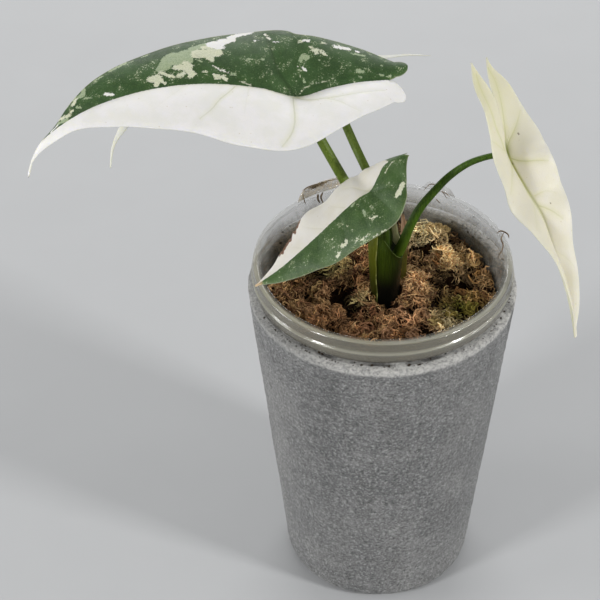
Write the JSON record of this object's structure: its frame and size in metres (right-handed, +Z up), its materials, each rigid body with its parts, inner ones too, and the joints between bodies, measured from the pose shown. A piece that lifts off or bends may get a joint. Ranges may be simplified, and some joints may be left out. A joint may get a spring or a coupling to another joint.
{
  "type": "potted variegated alocasia",
  "caption": "Young variegated alocasia with long arrow-shaped leaves, standing in a clear cup of sphagnum moss inside a tall tapered concrete pot.",
  "frame": {"origin": "centre of the concrete pot's flat underside", "axes": "+Z up; -Y is the side shown to the viewer; +X to the viewer's right; the two long leaves reach towards -X"},
  "size_m": [0.2474, 0.1296, 0.2775],
  "materials": {
    "concrete": "matte fine-grained cast concrete",
    "clear_plastic": "clear, slightly soiled plastic",
    "moss": "dry to damp tangled strands",
    "stem": "satin plant skin",
    "stalk": "satin plant skin",
    "blade_half_white": "satin leaf, half green and half white",
    "blade_white": "satin leaf, white",
    "blade_cream": "satin leaf, cream with green veins",
    "papery_pale": "papery, pale",
    "papery_dry": "papery, dry brown"
  },
  "bodies": {
    "root": {"concrete_pot": "concrete", "clear_cup": "clear_plastic", "sphagnum_moss": "moss", "stem_base": "stem", "leaf_1_stalk": "stalk", "leaf_1_blade": "blade_half_white", "leaf_2_stalk": "stalk", "leaf_2_blade": "blade_white", "leaf_3_stalk": "stalk", "leaf_3_blade": "blade_half_white", "leaf_4_stalk": "stalk", "leaf_4_blade": "blade_cream", "cataphyll_pale": "papery_pale", "cataphyll_dry": "papery_dry"}
  },
  "joints": []
}
